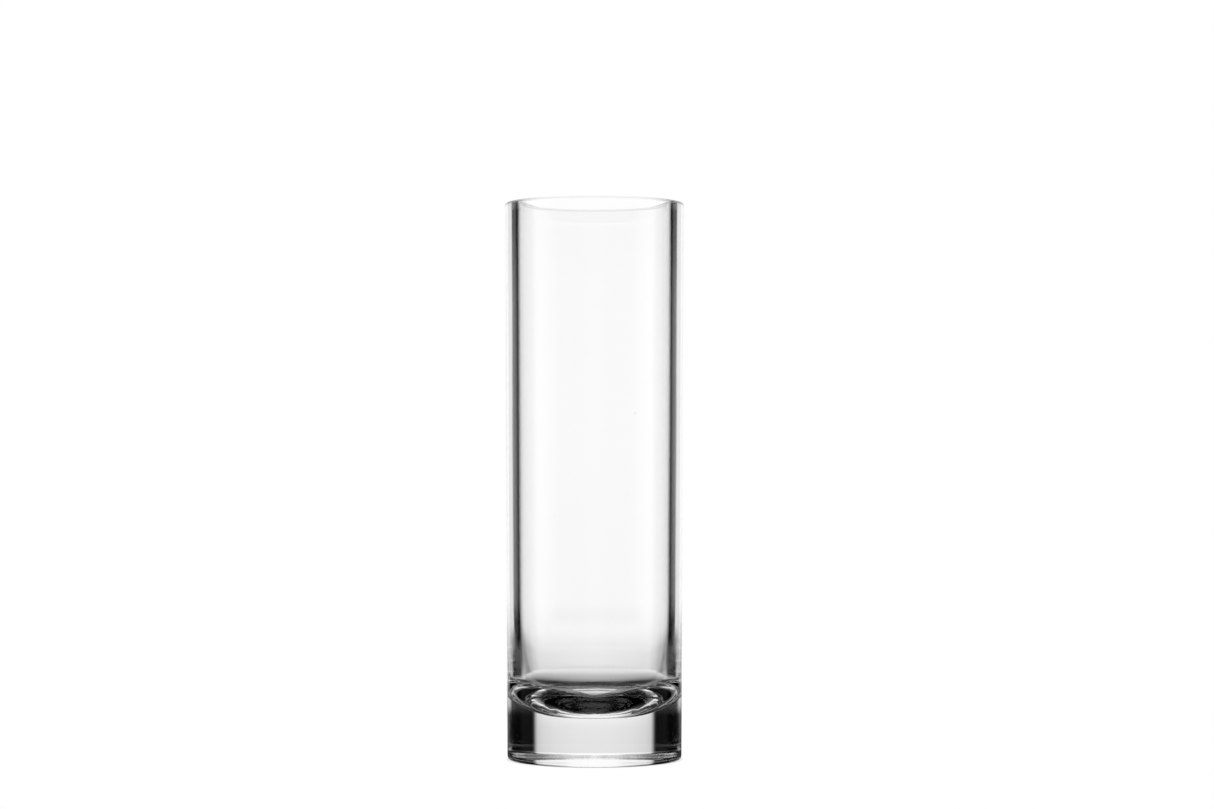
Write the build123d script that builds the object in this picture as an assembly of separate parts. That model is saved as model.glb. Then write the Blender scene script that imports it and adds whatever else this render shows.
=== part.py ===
from build123d import *

import os

# A cylinder vase: one piece of clear glass with a straight wall, a rounded rim and a thick base.
# Frame: the origin is the centre of the plane that the foot stands on, and +Z runs up the axis.
# All sizes are in millimetres. The outline is drawn as radius (X) and height (Y), then revolved.

# Outside of the wall, which opens very slightly upwards so that the glass leaves its mould
HEIGHT = 200.0
RIM_RADIUS = 32.2
FOOT_RADIUS = 31.3
WALL = 4.6

# Edges
RIM_OUTER_ROUND = 0.9
RIM_INNER_ROUND = 0.8
FOOT_ROUND = 1.4

# Underside: flat, with a shallow polished dimple in the middle
DIMPLE_RADIUS = 16.3
DIMPLE_DEPTH = 0.8

# Cavity: the wall thickens slowly from THICKEN_START down to CORNER_TOP, then a soft corner
# runs in to the flat floor. The two pulls say how far the corner keeps to each of its ends.
THICKEN_START = 56.6
THICKEN_WIDTH = 1.2
CORNER_TOP = 30.1
CORNER_WALL_PULL = 6.35
CORNER_FLOOR_PULL = 7.4
FLOOR_HEIGHT = 16.0
FLOOR_RADIUS = 8.3

# Worked out from those
DRAFT_SLOPE = (RIM_RADIUS - FOOT_RADIUS) / HEIGHT
CAVITY_RIM_RADIUS = RIM_RADIUS - WALL


def cavity_wall_radius(height):
    """Radius of the cavity's straight wall, carried down to any height."""
    return CAVITY_RIM_RADIUS - DRAFT_SLOPE * (HEIGHT - height)


def outside_outline():
    """Underside and outer wall, from the axis to the rim's outer edge."""
    dimple = TangentArc((0, DIMPLE_DEPTH), (DIMPLE_RADIUS, 0), tangent=(1, 0))
    foot = Line((DIMPLE_RADIUS, 0), (FOOT_RADIUS, 0))
    wall = Line((FOOT_RADIUS, 0), (RIM_RADIUS, HEIGHT))
    return [dimple, foot, wall]


def cavity_outline():
    """Straight wall, thickening wall, corner and floor, from the rim's inner edge to the axis."""
    middle = (THICKEN_START + CORNER_TOP) / 2
    start = Vector(cavity_wall_radius(THICKEN_START), THICKEN_START)
    bend = Vector(cavity_wall_radius(middle), middle)
    corner_top = Vector(cavity_wall_radius(CORNER_TOP) - THICKEN_WIDTH, CORNER_TOP)
    down = (corner_top - bend).normalized()
    floor_edge = Vector(FLOOR_RADIUS, FLOOR_HEIGHT)
    return [
        Line((CAVITY_RIM_RADIUS, HEIGHT), start),
        Bezier(start, bend, corner_top),
        Bezier(
            corner_top,
            corner_top + down * CORNER_WALL_PULL,
            floor_edge + Vector(CORNER_FLOOR_PULL, 0),
            floor_edge,
        ),
        Line(floor_edge, (0, FLOOR_HEIGHT)),
    ]


def corner_at(face, radius, height):
    """The outline's corner nearest to a place, for rounding it."""
    return face.vertices().sort_by_distance((radius, height, 0))[0]


def section():
    """Half of the vase's cross-section, with its edges rounded."""
    rim = Line((RIM_RADIUS, HEIGHT), (CAVITY_RIM_RADIUS, HEIGHT))
    axis = Line((0, FLOOR_HEIGHT), (0, DIMPLE_DEPTH))
    face = make_face([*outside_outline(), rim, *cavity_outline(), axis])
    face = fillet(corner_at(face, RIM_RADIUS, HEIGHT), RIM_OUTER_ROUND)
    face = fillet(corner_at(face, CAVITY_RIM_RADIUS, HEIGHT), RIM_INNER_ROUND)
    return fillet(corner_at(face, FOOT_RADIUS, 0), FOOT_ROUND)


def glass_body():
    """The whole vase: its section turned upright and revolved about +Z."""
    return revolve(Plane.XZ * section(), axis=Axis.Z, revolution_arc=360)


os.makedirs("parts", exist_ok=True)
export_step(glass_body(), "parts/glass_body.step")
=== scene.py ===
from math import atan, cos, pi, radians, sin

import bpy
import bmesh
from mathutils import Matrix, Vector, noise


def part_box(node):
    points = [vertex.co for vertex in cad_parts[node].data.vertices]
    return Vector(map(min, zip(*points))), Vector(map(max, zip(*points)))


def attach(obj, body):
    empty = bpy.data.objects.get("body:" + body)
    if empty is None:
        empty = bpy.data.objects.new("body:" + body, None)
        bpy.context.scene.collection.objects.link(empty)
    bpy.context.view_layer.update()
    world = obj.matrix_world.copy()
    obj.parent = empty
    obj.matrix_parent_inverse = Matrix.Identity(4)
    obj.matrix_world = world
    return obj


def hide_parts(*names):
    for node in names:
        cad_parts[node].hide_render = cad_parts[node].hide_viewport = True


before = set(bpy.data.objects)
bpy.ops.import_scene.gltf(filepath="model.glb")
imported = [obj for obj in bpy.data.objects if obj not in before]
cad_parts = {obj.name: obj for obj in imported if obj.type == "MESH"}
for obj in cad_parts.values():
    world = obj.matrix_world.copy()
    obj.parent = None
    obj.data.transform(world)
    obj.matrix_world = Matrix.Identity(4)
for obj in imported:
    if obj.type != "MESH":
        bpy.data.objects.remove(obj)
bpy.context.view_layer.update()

MM = 0.001

# ---------------------------------------------------------------- the vase's outline
# Heights and radii are in millimetres here, and the mesh is made in metres.
RIM_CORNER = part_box("glass_body")[1]
HEIGHT = RIM_CORNER.z / MM
DRAFT_SLOPE = 0.9 / 200  # how much the wall's radius grows with height
RIM_OUTER_ROUND = 0.9
RIM_INNER_ROUND = 0.8
FOOT_ROUND = 1.4
RIM_RADIUS = RIM_CORNER.x / MM + DRAFT_SLOPE * RIM_OUTER_ROUND  # the rounding takes a little off
WALL = 4.6
DIMPLE_RADIUS = 16.3
DIMPLE_DEPTH = 0.8
THICKEN_START = 56.6
THICKEN_WIDTH = 1.2
CORNER_TOP = 30.1
CORNER_WALL_PULL = 6.35
CORNER_FLOOR_PULL = 7.4
FLOOR_HEIGHT = 16.0
FLOOR_RADIUS = 8.3

# Vertices round the vase, and steps in each stretch of its outline
TURNS = 288
BOWL_STEPS = 16
RING_STEPS = 10
FOOT_STEPS = 16
OUTSIDE_STEPS = 70
RIM_ROUND_STEPS = 14
RIM_FLAT_STEPS = 6
INSIDE_STEPS = 60
THICKEN_STEPS = 24
CORNER_STEPS = 56
FLOOR_STEPS = 12

# Small faults of blown glass
WALL_WAVE = 0.02  # how far the inside of the wall wanders
WALL_WAVE_LENGTH = Vector((14, 14, 45))
WALL_WAVE_FADE = 15  # height over which the wall's wave takes over from the floor's
FLOOR_WAVE = 0.045  # how far the cavity's floor and corner wander
FLOOR_WAVE_LENGTH = 6.5
FLOOR_WAVE_START = Vector((7, 0, 0))  # where in the noise it begins
FINE_SHARE = 0.5  # size of the floor's finer wave beside the coarse one
FINE_SCALE = 2.3  # and how many times shorter it is
RIM_WAVE = 0.05  # how far the fire-polished rim rises and falls
RIM_WAVE_DEPTH = 12  # how far down from the rim that reaches
RIM_WAVE_SCALE = 1.3


def outer_radius(height):
    return RIM_RADIUS - DRAFT_SLOPE * (HEIGHT - height)


def inner_radius(height):
    """Radius of the cavity's straight wall, carried down to any height."""
    return outer_radius(height) - WALL


def line(a, b, steps):
    """Points from a to b, with b left out."""
    return [a.lerp(b, i / steps) for i in range(steps)]


def curve(controls, steps):
    """Points on a Bezier curve, with its last point left out."""
    points = []
    for i in range(steps):
        level = list(controls)
        while len(level) > 1:
            level = [p.lerp(q, i / steps) for p, q in zip(level, level[1:])]
        points.append(level[0])
    return points


def arc(centre, radius, start, end, steps):
    """Points on a circle, angles in degrees from the radial direction, both ends included."""
    turns = [radians(start + (end - start) * i / steps) for i in range(steps + 1)]
    return [centre + radius * Vector((cos(t), sin(t))) for t in turns]


def underside():
    """The dimple's shallow bowl and the flat ring round it."""
    bowl = [DIMPLE_RADIUS * i / BOWL_STEPS for i in range(1, BOWL_STEPS)]
    points = [Vector((r, DIMPLE_DEPTH * (1 - (r / DIMPLE_RADIUS) ** 2))) for r in bowl]
    ring_end = Vector((outer_radius(0) - FOOT_ROUND, 0))
    return points + line(Vector((DIMPLE_RADIUS, 0)), ring_end, RING_STEPS)


def rounded_rim():
    """The two rounded edges of the rim."""
    outer_across = RIM_RADIUS - RIM_OUTER_ROUND * (1 + DRAFT_SLOPE)
    inner_across = inner_radius(HEIGHT) + RIM_INNER_ROUND * (1 - DRAFT_SLOPE)
    outer = Vector((outer_across, HEIGHT - RIM_OUTER_ROUND))
    inner = Vector((inner_across, HEIGHT - RIM_INNER_ROUND))
    outside = arc(outer, RIM_OUTER_ROUND, 0, 90, RIM_ROUND_STEPS)
    inside = arc(inner, RIM_INNER_ROUND, 90, 180, RIM_ROUND_STEPS)
    return outside + line(outside[-1], inside[0], RIM_FLAT_STEPS)[1:] + inside


def cavity():
    """Inside of the wall from below the rim, the soft corner, and the floor as far as the axis."""
    middle = (THICKEN_START + CORNER_TOP) / 2
    top = Vector((inner_radius(HEIGHT - RIM_INNER_ROUND), HEIGHT - RIM_INNER_ROUND))
    start = Vector((inner_radius(THICKEN_START), THICKEN_START))
    bend = Vector((inner_radius(middle), middle))
    corner_top = Vector((inner_radius(CORNER_TOP) - THICKEN_WIDTH, CORNER_TOP))
    wall_pull = (corner_top - bend).normalized() * CORNER_WALL_PULL
    floor_edge = Vector((FLOOR_RADIUS, FLOOR_HEIGHT))
    floor_pull = Vector((CORNER_FLOOR_PULL, 0))
    corner = [corner_top, corner_top + wall_pull, floor_edge + floor_pull, floor_edge]
    return (
        line(top, start, INSIDE_STEPS)[1:]
        + curve([start, bend, corner_top], THICKEN_STEPS)
        + curve(corner, CORNER_STEPS)
        + line(floor_edge, Vector((0, FLOOR_HEIGHT)), FLOOR_STEPS)
    )


def outline():
    """Radius and height of each ring of vertices: out from the dimple, up, and down the cavity."""
    lean = -atan(DRAFT_SLOPE) * 180 / pi
    foot_centre = Vector((outer_radius(0) - FOOT_ROUND * (1 - DRAFT_SLOPE), FOOT_ROUND))
    foot = arc(foot_centre, FOOT_ROUND, -90, lean, FOOT_STEPS)
    rim = rounded_rim()
    outside = line(foot[-1], rim[0], OUTSIDE_STEPS)[1:]
    return underside() + foot + outside + rim + cavity()


def fade(value, low, high):
    """0 at low and beyond, 1 at high and beyond, smooth between."""
    t = min(max((value - low) / (high - low), 0), 1)
    return t * t * (3 - 2 * t)


def wandered(point, inside):
    """A point of the vase in millimetres, moved by the small faults of blown glass."""
    out = Vector((point.x, point.y, 0))
    if out.length > 0:
        out.normalize()
    moved = point.copy()
    if inside:
        wave = Vector(a / b for a, b in zip(point, WALL_WAVE_LENGTH))
        on_wall = fade(point.z, CORNER_TOP, CORNER_TOP + WALL_WAVE_FADE)
        moved += out * WALL_WAVE * on_wall * noise.noise(wave)
        ripple = noise.noise(point / FLOOR_WAVE_LENGTH + FLOOR_WAVE_START)
        ripple += FINE_SHARE * noise.noise(point / FLOOR_WAVE_LENGTH * FINE_SCALE)
        moved.z += FLOOR_WAVE * (1 - on_wall) * ripple
    near_rim = fade(point.z, HEIGHT - RIM_WAVE_DEPTH, HEIGHT)
    moved.z += RIM_WAVE * near_rim * noise.noise(out * RIM_WAVE_SCALE)
    return moved


def ring_faces(rings):
    """Faces that join rings of TURNS vertices to each other and to a vertex at each end."""
    faces = []
    last = 1 + rings * TURNS
    for k in range(TURNS):
        n = (k + 1) % TURNS
        faces.append((0, 1 + n, 1 + k))
        for low in range(1, last - TURNS, TURNS):
            high = low + TURNS
            faces.append((low + k, low + n, high + n, high + k))
        faces.append((last - TURNS + k, last - TURNS + n, last))
    return faces


def vase_mesh():
    """The closed skin of the vase: its outline turned about +Z."""
    points = outline()
    rim_top = max(range(len(points)), key=lambda i: points[i].y)
    verts = [Vector((0, 0, DIMPLE_DEPTH))]
    for row, (radius, height) in enumerate(points):
        for k in range(TURNS):
            turn = 2 * pi * k / TURNS
            point = Vector((radius * cos(turn), radius * sin(turn), height))
            verts.append(wandered(point, row > rim_top))
    verts.append(wandered(Vector((0, 0, FLOOR_HEIGHT)), True))
    mesh = bpy.data.meshes.new("vase_glass")
    mesh.from_pydata([v * MM for v in verts], [], ring_faces(len(points)))
    mesh.update()
    return mesh


# Seeds, the air bubbles in blown glass: angle from +X in degrees, share of the way through the
# glass from the cavity, height, and radius, then how much taller than wide
SEEDS = [
    (-149, 0.45, 161.0, 0.22, 1.9),
    (-31, 0.55, 171.5, 0.20, 1.6),
    (-118, 0.35, 88.0, 0.13, 1.4),
    (-62, 0.60, 124.0, 0.12, 2.2),
    (37, 0.40, 140.0, 0.16, 1.5),
    (102, 0.55, 61.0, 0.15, 1.3),
    (158, 0.50, 108.0, 0.14, 2.0),
]


def add_seeds(mesh):
    """Hollows in the glass, whose faces look inwards."""
    work = bmesh.new()
    work.from_mesh(mesh)
    for angle, share, height, radius, stretch in SEEDS:
        across = inner_radius(height) + share * WALL
        place = Vector((across * cos(radians(angle)), across * sin(radians(angle)), height)) * MM
        size = Matrix.Diagonal((radius * MM, radius * MM, radius * stretch * MM, 1))
        made = bmesh.ops.create_icosphere(
            work, subdivisions=3, radius=1, matrix=Matrix.Translation(place) @ size
        )
        faces = {f for v in made["verts"] for f in v.link_faces}
        bmesh.ops.reverse_faces(work, faces=list(faces))
    work.to_mesh(mesh)
    work.free()


# ---------------------------------------------------------------- glass
GLASS_IOR = 1.52
SCUFF_SCALE = 900
SCUFF_HEIGHT = 0.25  # millimetres above the table, where the scuffs end
SCUFF_NOISE = (0.5, 0.75)  # the noise from which scuffs begin, and at which they are full
SCUFF_ROUGHNESS = 0.12
RIPPLE_SCALE = 110
RIPPLE_DEPTH = 0.006  # millimetres


def glass_material():
    """Clear glass, with the faint ripple of its mould and a scuffed ring where it stands."""
    material = bpy.data.materials.new("clear_glass")
    material.use_nodes = True
    nodes = material.node_tree.nodes
    links = material.node_tree.links
    glass = nodes["Principled BSDF"]
    glass.inputs["Base Color"].default_value = (1, 1, 1, 1)
    glass.inputs["IOR"].default_value = GLASS_IOR
    glass.inputs["Transmission Weight"].default_value = 1

    place = nodes.new("ShaderNodeTexCoord")
    part = nodes.new("ShaderNodeSeparateXYZ")
    links.new(place.outputs["Object"], part.inputs[0])

    scuffs = nodes.new("ShaderNodeTexNoise")
    scuffs.inputs["Scale"].default_value = SCUFF_SCALE
    scuffs.inputs["Detail"].default_value = 6
    links.new(place.outputs["Object"], scuffs.inputs["Vector"])
    near_foot = nodes.new("ShaderNodeMapRange")
    near_foot.inputs["From Min"].default_value = SCUFF_HEIGHT * MM
    near_foot.inputs["From Max"].default_value = 0
    links.new(part.outputs["Z"], near_foot.inputs["Value"])
    worn = nodes.new("ShaderNodeMapRange")
    worn.inputs["From Min"].default_value = SCUFF_NOISE[0]
    worn.inputs["From Max"].default_value = SCUFF_NOISE[1]
    worn.inputs["To Max"].default_value = SCUFF_ROUGHNESS
    links.new(scuffs.outputs["Fac"], worn.inputs["Value"])
    roughness = nodes.new("ShaderNodeMath")
    roughness.operation = "MULTIPLY"
    links.new(near_foot.outputs["Result"], roughness.inputs[0])
    links.new(worn.outputs["Result"], roughness.inputs[1])
    links.new(roughness.outputs[0], glass.inputs["Roughness"])

    skin = nodes.new("ShaderNodeTexNoise")
    skin.inputs["Scale"].default_value = RIPPLE_SCALE
    skin.inputs["Detail"].default_value = 2
    links.new(place.outputs["Object"], skin.inputs["Vector"])
    bump = nodes.new("ShaderNodeBump")
    bump.inputs["Strength"].default_value = 1
    bump.inputs["Distance"].default_value = RIPPLE_DEPTH * MM
    links.new(skin.outputs["Fac"], bump.inputs["Height"])
    links.new(bump.outputs["Normal"], glass.inputs["Normal"])
    return material


def vase():
    mesh = vase_mesh()
    add_seeds(mesh)
    mesh.shade_smooth()
    mesh.materials.append(glass_material())
    piece = bpy.data.objects.new("vase_glass", mesh)
    bpy.context.scene.collection.objects.link(piece)
    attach(piece, "root")
    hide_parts("glass_body")


vase()


# ---------------------------------------------------------------- camera
def camera():
    data = bpy.data.cameras.new("camera")
    data.lens = 87.3
    data.sensor_width = 36
    data.shift_y = 0.0453
    data.clip_end = 100
    eye = bpy.data.objects.new("camera", data)
    eye.location = (0.0045, -1.06, 0.1078)
    eye.rotation_euler = (pi / 2, 0, 0)
    bpy.context.scene.collection.objects.link(eye)
    bpy.context.scene.camera = eye


camera()


# ---------------------------------------------------------------- studio
# Each light is a patch of the sky round the vase. Its brightness is one ramp across, by azimuth
# either way from +Y, times one ramp up, by elevation, both in degrees. A ramp keeps its end
# values beyond its ends. Where there is no light the sky is black.
LIGHTS = {
    "backdrop": (
        [(0, 1.0), (8, 0.99), (18, 0.94), (26, 0.85), (29.5, 0.74), (32.5, 0.05), (34, 0)],
        [(-9, 0), (-6.5, 0.96), (-3, 1.04), (1, 1.06), (12, 1.04), (18, 0.3), (26, 0)],
    ),
    "backdrop_top": (
        [(0, 1.0), (10, 0.95), (17, 0.35), (28, 0.12), (34, 0)],
        [(12, 0), (18, 0.8), (26, 1.0), (50, 1.0), (58, 0)],
    ),
    "table_glow": (
        [(0, 1.0), (12, 0.9), (18, 0.6), (24, 0.3), (31, 0.1), (34, 0)],
        [(-46, 0), (-38, 0.08), (-30, 0.33), (-22, 0.73), (-15, 0.86), (-9, 0.88), (-6.5, 0)],
    ),
    "flank": (
        [(31, 0), (33, 0.2), (38, 0.12), (45, 0.05), (60, 0.02), (64, 0)],
        [(-4.5, 0), (-2.5, 0.7), (0, 1), (3, 0.8), (4.5, 0)],
    ),
    "side": (
        [(63, 0), (73, 0.85), (110, 0.8), (125, 0.5), (180, 0.5)],
        [(-5, 0), (-3, 1), (4, 1), (8, 0.2), (30, 0.1), (44, 0.2), (50, 0)],
    ),
    "floor_round": (
        [(62, 0), (80, 0.92), (180, 0.92)],
        [(-24, 0), (-17, 1), (-8, 1), (-5.8, 0)],
    ),
    "side_low": (
        [(63, 0), (73, 0.85), (105, 0.85), (120, 0.25), (180, 0.25)],
        [(-8, 0), (-5.8, 1), (-5, 1), (-3, 0)],
    ),
    "ceiling": (
        [(0, 1), (30, 1), (35, 0.1), (60, 0.1), (70, 1), (180, 1)],
        [(46, 0), (60, 0.9), (90, 1)],
    ),
}
# How much the glass reflects of the light that comes from the front, past FRONT degrees from +Y,
# and from below, under BELOW degrees of elevation
REFLECTED = 0.1
FRONT = (95, 125)
BELOW = (-5, -4)

# The floor as the camera sees it: a painted contact shadow just round the foot, by distance from
# the axis in millimetres
FOOT_PAINTED_SHADOW = [(31.3, 0.8), (32.0, 1.0)]

# The table that shows through the glass glows with painted light, by distance from the axis in
# millimetres: painted shade beside the foot, pale further out. Away from the back the painted
# shade is wider, by PAINTED_SHADE_WIDENING.
TABLE_PAINTED_LIGHT_AND_SHADE = [(46, 0.02), (60, 0.05), (75, 0.37), (104, 0.76), (130, 0.92), (200, 0.95)]
BACK_EDGE = (30, 60)
PAINTED_SHADE_WIDENING = 10
# How much of that is left by azimuth, where the table is seen at less than SHALLOW degrees: a
# painted reflection of the dark studio at the sides
SHALLOW_PAINTED_REFLECTION = [(25, 1.0), (33, 0.06), (58, 0.06), (70, 1.0)]
SHALLOW = (15, 20)
# Seen at less than MIRRORED degrees it shows the studio instead, as a painted reflection: the sky
# below shows through it. How much of it: by distance, and by azimuth on the part nearer than NEAR.
MIRRORED = (11, 17)
TABLE_PAINTED_REFLECTION = [(32, 0.83), (150, 0.87), (230, 1.0)]
NEAR_PAINTED_REFLECTION = [(27, 1.0), (36, 0.04), (60, 0.04), (90, 0.3), (120, 0.04), (180, 0.04)]
NEAR = (180, 260)
FOOT_EDGE = (31.5, 32.5)  # inside this the table is always clear
TABLE_GAP = 0.02  # millimetres below the foot
TABLE_SIZE = 3.0  # metres

BOUNCES = 24
GLOSSY_BOUNCES = 16


def grey(brightness):
    return brightness, brightness, brightness, 1


class Graph:
    """Short names for the nodes of one world or material."""

    def __init__(self, tree):
        self.tree = tree
        tree.nodes.clear()

    def node(self, kind):
        return self.tree.nodes.new(kind)

    def link(self, source, socket):
        self.tree.links.new(source, socket)

    def math(self, operation, *values):
        node = self.node("ShaderNodeMath")
        node.operation = operation
        for socket, value in zip(node.inputs, values):
            if isinstance(value, (int, float)):
                socket.default_value = value
            else:
                self.link(value, socket)
        return node.outputs[0]

    def step(self, value, low, high, start=0.0, end=1.0):
        """start below low and end above high, smooth between."""
        node = self.node("ShaderNodeMapRange")
        node.interpolation_type = "SMOOTHSTEP"
        node.inputs["From Min"].default_value = low
        node.inputs["From Max"].default_value = high
        node.inputs["To Min"].default_value = start
        node.inputs["To Max"].default_value = end
        self.link(value, node.inputs["Value"])
        return node.outputs["Result"]

    def ramp(self, value, stops):
        """Brightness by stops of (value, brightness)."""
        low, high = stops[0][0], stops[-1][0]
        share = self.node("ShaderNodeMapRange")
        share.inputs["From Min"].default_value = low
        share.inputs["From Max"].default_value = high
        self.link(value, share.inputs["Value"])
        node = self.node("ShaderNodeValToRGB")
        marks = node.color_ramp.elements
        marks[0].color = grey(stops[0][1])
        marks[-1].color = grey(stops[-1][1])
        for place, brightness in stops[1:-1]:
            marks.new((place - low) / (high - low)).color = grey(brightness)
        self.link(share.outputs["Result"], node.inputs["Fac"])
        return self.math("MULTIPLY", node.outputs["Color"], 1.0)  # turns the grey into a number

    def part(self, share, dimmed):
        """1 where share is 0, and dimmed where share is 1."""
        lost = self.math("SUBTRACT", 1.0, dimmed)
        return self.math("SUBTRACT", 1.0, self.math("MULTIPLY", share, lost))

    def azimuth(self, x, y):
        """Degrees either way from +Y."""
        signed = self.math("MULTIPLY", self.math("ARCTAN2", x, y), 180 / pi)
        return self.math("ABSOLUTE", signed)

    def axes(self, source):
        part = self.node("ShaderNodeSeparateXYZ")
        self.link(source, part.inputs[0])
        return part.outputs

    def mix(self, share, first, second):
        node = self.node("ShaderNodeMixShader")
        self.link(share, node.inputs[0])
        self.link(first, node.inputs[1])
        self.link(second, node.inputs[2])
        return node.outputs[0]


def sky():
    """What the vase shows of the studio, and plain white where the camera looks past it."""
    world = bpy.data.worlds.new("studio")
    bpy.context.scene.world = world
    world.use_nodes = True
    g = Graph(world.node_tree)
    x, y, z = g.axes(g.node("ShaderNodeTexCoord").outputs["Generated"])
    azimuth = g.azimuth(x, y)
    elevation = g.math("MULTIPLY", g.math("ARCSINE", z), 180 / pi)
    light = 0.0
    for across, up in LIGHTS.values():
        patch = g.math("MULTIPLY", g.ramp(azimuth, across), g.ramp(elevation, up))
        light = g.math("ADD", light, patch)
    path = g.node("ShaderNodeLightPath")
    front = g.step(azimuth, *FRONT)
    low = g.step(elevation, *BELOW, 1, 0)
    dim = g.math("MULTIPLY", g.math("MAXIMUM", front, low), path.outputs["Is Reflection Ray"])
    kept = g.part(dim, REFLECTED)
    shown = g.node("ShaderNodeBackground")
    g.link(g.math("MULTIPLY", light, kept), shown.inputs["Color"])
    plain = g.node("ShaderNodeBackground")
    plain.inputs["Color"].default_value = (1, 1, 1, 1)
    out = g.node("ShaderNodeOutputWorld")
    g.link(g.mix(path.outputs["Is Camera Ray"], shown.outputs[0], plain.outputs[0]), out.inputs[0])


def stage_plane(name, height):
    """A level square that isn't part of the vase, and the nodes of its material."""
    half = TABLE_SIZE / 2
    around = [(-half, -half), (half, -half), (half, half), (-half, half)]
    corners = [(x, y, height) for x, y in around]
    mesh = bpy.data.meshes.new(name)
    mesh.from_pydata(corners, [], [(0, 1, 2, 3)])
    plane = bpy.data.objects.new(name, mesh)
    bpy.context.scene.collection.objects.link(plane)
    plane.visible_shadow = False
    plane.visible_diffuse = False
    plane.visible_glossy = False
    material = bpy.data.materials.new(name)
    material.use_nodes = True
    mesh.materials.append(material)
    return plane, Graph(material.node_tree)


def place_on_table(g):
    """Distance from the axis in millimetres, and azimuth in degrees either way from +Y."""
    x, y, z = g.axes(g.node("ShaderNodeTexCoord").outputs["Object"])
    squares = g.math("ADD", g.math("MULTIPLY", x, x), g.math("MULTIPLY", y, y))
    distance = g.math("MULTIPLY", g.math("SQRT", squares), 1 / MM)
    return distance, g.azimuth(x, y)


def glowing(g, brightness):
    """A surface that gives off this brightness, whatever light falls on it."""
    glow = g.node("ShaderNodeEmission")
    g.link(brightness, glow.inputs["Color"])
    return glow.outputs[0]


def floor():
    """The pale floor as the camera sees it, with a thin painted shadow where the foot touches it.
    """
    plane, g = stage_plane("floor", -TABLE_GAP * MM)
    plane.visible_transmission = False
    distance = place_on_table(g)[0]
    out = g.node("ShaderNodeOutputMaterial")
    # the glow dims just round the foot: a painted contact shadow
    g.link(glowing(g, g.ramp(distance, FOOT_PAINTED_SHADOW)), out.inputs[0])


def facing_at(degrees):
    """Layer Weight's facing value where a surface is seen this many degrees above its plane."""
    return 1 - sin(radians(degrees))


def table():
    """The same floor as it shows through the glass, glowing with painted light and painted shade.
    Seen at a low angle it shows a painted reflection of the studio, with the sky below showing
    through it.
    """
    plane, g = stage_plane("table", -TABLE_GAP * MM)
    plane.visible_camera = False
    distance, azimuth = place_on_table(g)
    angle = g.node("ShaderNodeLayerWeight")
    angle.inputs["Blend"].default_value = 0.5
    facing = angle.outputs["Facing"]

    # painted shade beside the foot, wider away from the back, and painted light further out
    wider = g.step(azimuth, *BACK_EDGE, 0, PAINTED_SHADE_WIDENING)
    pale = g.ramp(g.math("SUBTRACT", distance, wider), TABLE_PAINTED_LIGHT_AND_SHADE)
    # at a low angle, a painted reflection of the dark studio at the sides
    shallow = g.step(facing, facing_at(SHALLOW[1]), facing_at(SHALLOW[0]))
    left = g.part(shallow, g.ramp(azimuth, SHALLOW_PAINTED_REFLECTION))
    glow = glowing(g, g.math("MULTIPLY", pale, left))

    # a see-through sheet that shows the sky below: a painted reflection of the studio
    painted_reflection = g.node("ShaderNodeBsdfTransparent")
    near = g.step(distance, *NEAR, 1, 0)
    painted_reflection_share = g.part(near, g.ramp(azimuth, NEAR_PAINTED_REFLECTION))
    g.link(g.math("MULTIPLY", g.ramp(distance, TABLE_PAINTED_REFLECTION), painted_reflection_share), painted_reflection.inputs["Color"])

    steep = g.step(facing, facing_at(MIRRORED[1]), facing_at(MIRRORED[0]), 1, 0)
    solid = g.math("MULTIPLY", steep, g.step(distance, *FOOT_EDGE))
    out = g.node("ShaderNodeOutputMaterial")
    g.link(g.mix(solid, painted_reflection.outputs[0], glow), out.inputs[0])


sky()
floor()
table()

scene = bpy.context.scene
scene.view_settings.view_transform = "Standard"
scene.cycles.max_bounces = BOUNCES
scene.cycles.transmission_bounces = BOUNCES
scene.cycles.transparent_max_bounces = BOUNCES
scene.cycles.glossy_bounces = GLOSSY_BOUNCES
